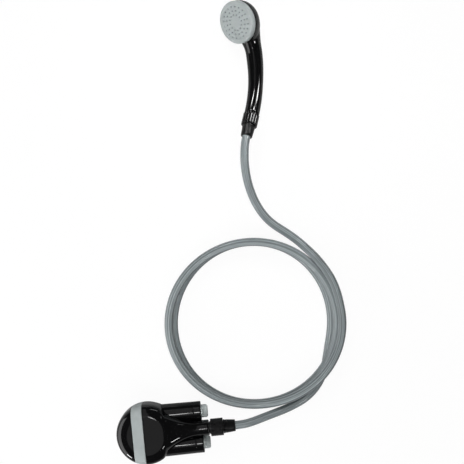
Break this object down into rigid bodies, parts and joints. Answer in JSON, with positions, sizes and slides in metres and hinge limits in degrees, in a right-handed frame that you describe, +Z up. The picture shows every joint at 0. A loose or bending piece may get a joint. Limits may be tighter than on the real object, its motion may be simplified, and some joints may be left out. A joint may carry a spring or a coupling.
{
  "type": "camp shower pump",
  "caption": "Battery camp shower pump: a round black body with side battery tubes, joined by a looped grey hose to a hand shower with a round spray face.",
  "frame": {"origin": "middle of the rubber pad's underside, on the surface that the pump lies on", "axes": "+X along the pump to its outlet, +Z up from the surface, +Y towards the hand shower"},
  "size_m": [0.3733, 0.7073, 0.063],
  "materials": {
    "black_shell": "glossy",
    "black_inner": "matte",
    "grey_trim": "satin",
    "grey_inner": "matte",
    "hose": "glossy",
    "soft_grey": "matte",
    "rubber": "matte",
    "steel": "brushed",
    "brass": "plain",
    "cells": "printed sleeve, plain"
  },
  "bodies": {
    "pump": {"housing": "black_shell", "intake_cover": "black_shell", "battery_tube_left": "black_shell", "battery_tube_right": "black_shell", "pump_sleeve": "black_shell", "handset_sleeve": "black_shell", "handset_shell": "black_shell", "bulkhead": "black_inner", "pump_chamber": "black_inner", "chamber_cover": "black_inner", "motor_end_bell": "black_inner", "outlet_spigot": "black_inner", "handset_inlet": "black_inner", "trim_band": "grey_trim", "outlet_pipe": "grey_inner", "hose_pump_run": "hose", "hose_coil": "hose", "hose_handset_run": "hose", "base_pad": "rubber", "shaft_seal": "rubber", "pump_washer": "rubber", "handset_washer": "rubber", "chamber_screws": "steel", "motor_can": "steel", "battery_spring_left": "steel", "battery_spring_right": "steel", "motor_leads": "brass", "spring_contact_left": "brass", "spring_contact_right": "brass", "contact_strip_left": "brass", "contact_strip_right": "brass", "pump_hose_tail": "brass", "handset_hose_tail": "brass", "cells_left": "cells", "cells_right": "cells"},
    "impeller": {"impeller": "grey_inner", "motor_shaft": "steel"},
    "left_cap_ring": {"cap_seal_left": "rubber"},
    "left_cap": {"battery_cap_left": "black_shell", "cap_grip_left": "grey_trim", "cap_contact_left": "brass"},
    "right_cap_ring": {"cap_seal_right": "rubber"},
    "right_cap": {"battery_cap_right": "black_shell", "cap_grip_right": "grey_trim", "cap_contact_right": "brass"},
    "face_ring": {"face_seal": "rubber"},
    "face": {"spray_face": "grey_trim", "nozzle_mat": "soft_grey"},
    "pump_nut": {"pump_nut": "black_shell"},
    "handset_nut": {"handset_nut": "black_shell"}
  },
  "joints": [
    {"name": "impeller_spin", "type": "hinge", "parent": "pump", "child": "impeller", "pos_m": [-0.03, 0, 0.021], "axis": [1, 0, 0], "continuous": true},
    {"name": "left_cap_travel", "type": "slide", "parent": "pump", "child": "left_cap_ring", "axis": [1, 0, 0], "range_m": [0, 0.009]},
    {"name": "left_cap_turn", "type": "hinge", "parent": "left_cap_ring", "child": "left_cap", "pos_m": [0.08, 0.0246, 0.0245], "axis": [1, 0, 0], "range_deg": [0, 1080]},
    {"name": "right_cap_travel", "type": "slide", "parent": "pump", "child": "right_cap_ring", "axis": [1, 0, 0], "range_m": [0, 0.009]},
    {"name": "right_cap_turn", "type": "hinge", "parent": "right_cap_ring", "child": "right_cap", "pos_m": [0.08, -0.0246, 0.0245], "axis": [1, 0, 0], "range_deg": [0, 1080]},
    {"name": "face_travel", "type": "slide", "parent": "pump", "child": "face_ring", "axis": [-0.6719, -0.266, 0.6912], "range_m": [0, 0.005]},
    {"name": "face_turn", "type": "hinge", "parent": "face_ring", "child": "face", "pos_m": [0.19939, 0.62495, 0.0379], "axis": [-0.6719, -0.266, 0.6912], "range_deg": [0, 720]},
    {"name": "pump_nut_turn", "type": "hinge", "parent": "pump", "child": "pump_nut", "pos_m": [0.11, 0, 0.038], "axis": [1, 0, 0], "continuous": true},
    {"name": "handset_nut_turn", "type": "hinge", "parent": "pump", "child": "handset_nut", "pos_m": [0.20779, 0.47246, 0.03382], "axis": [0.3008, 0.894, -0.3322], "continuous": true}
  ],
  "couplings": [
    {"joint": "left_cap_travel", "follows": "left_cap_turn", "m_per_rad": 0.00047746},
    {"joint": "right_cap_travel", "follows": "right_cap_turn", "m_per_rad": 0.00047746},
    {"joint": "face_travel", "follows": "face_turn", "m_per_rad": 0.00039788}
  ]
}
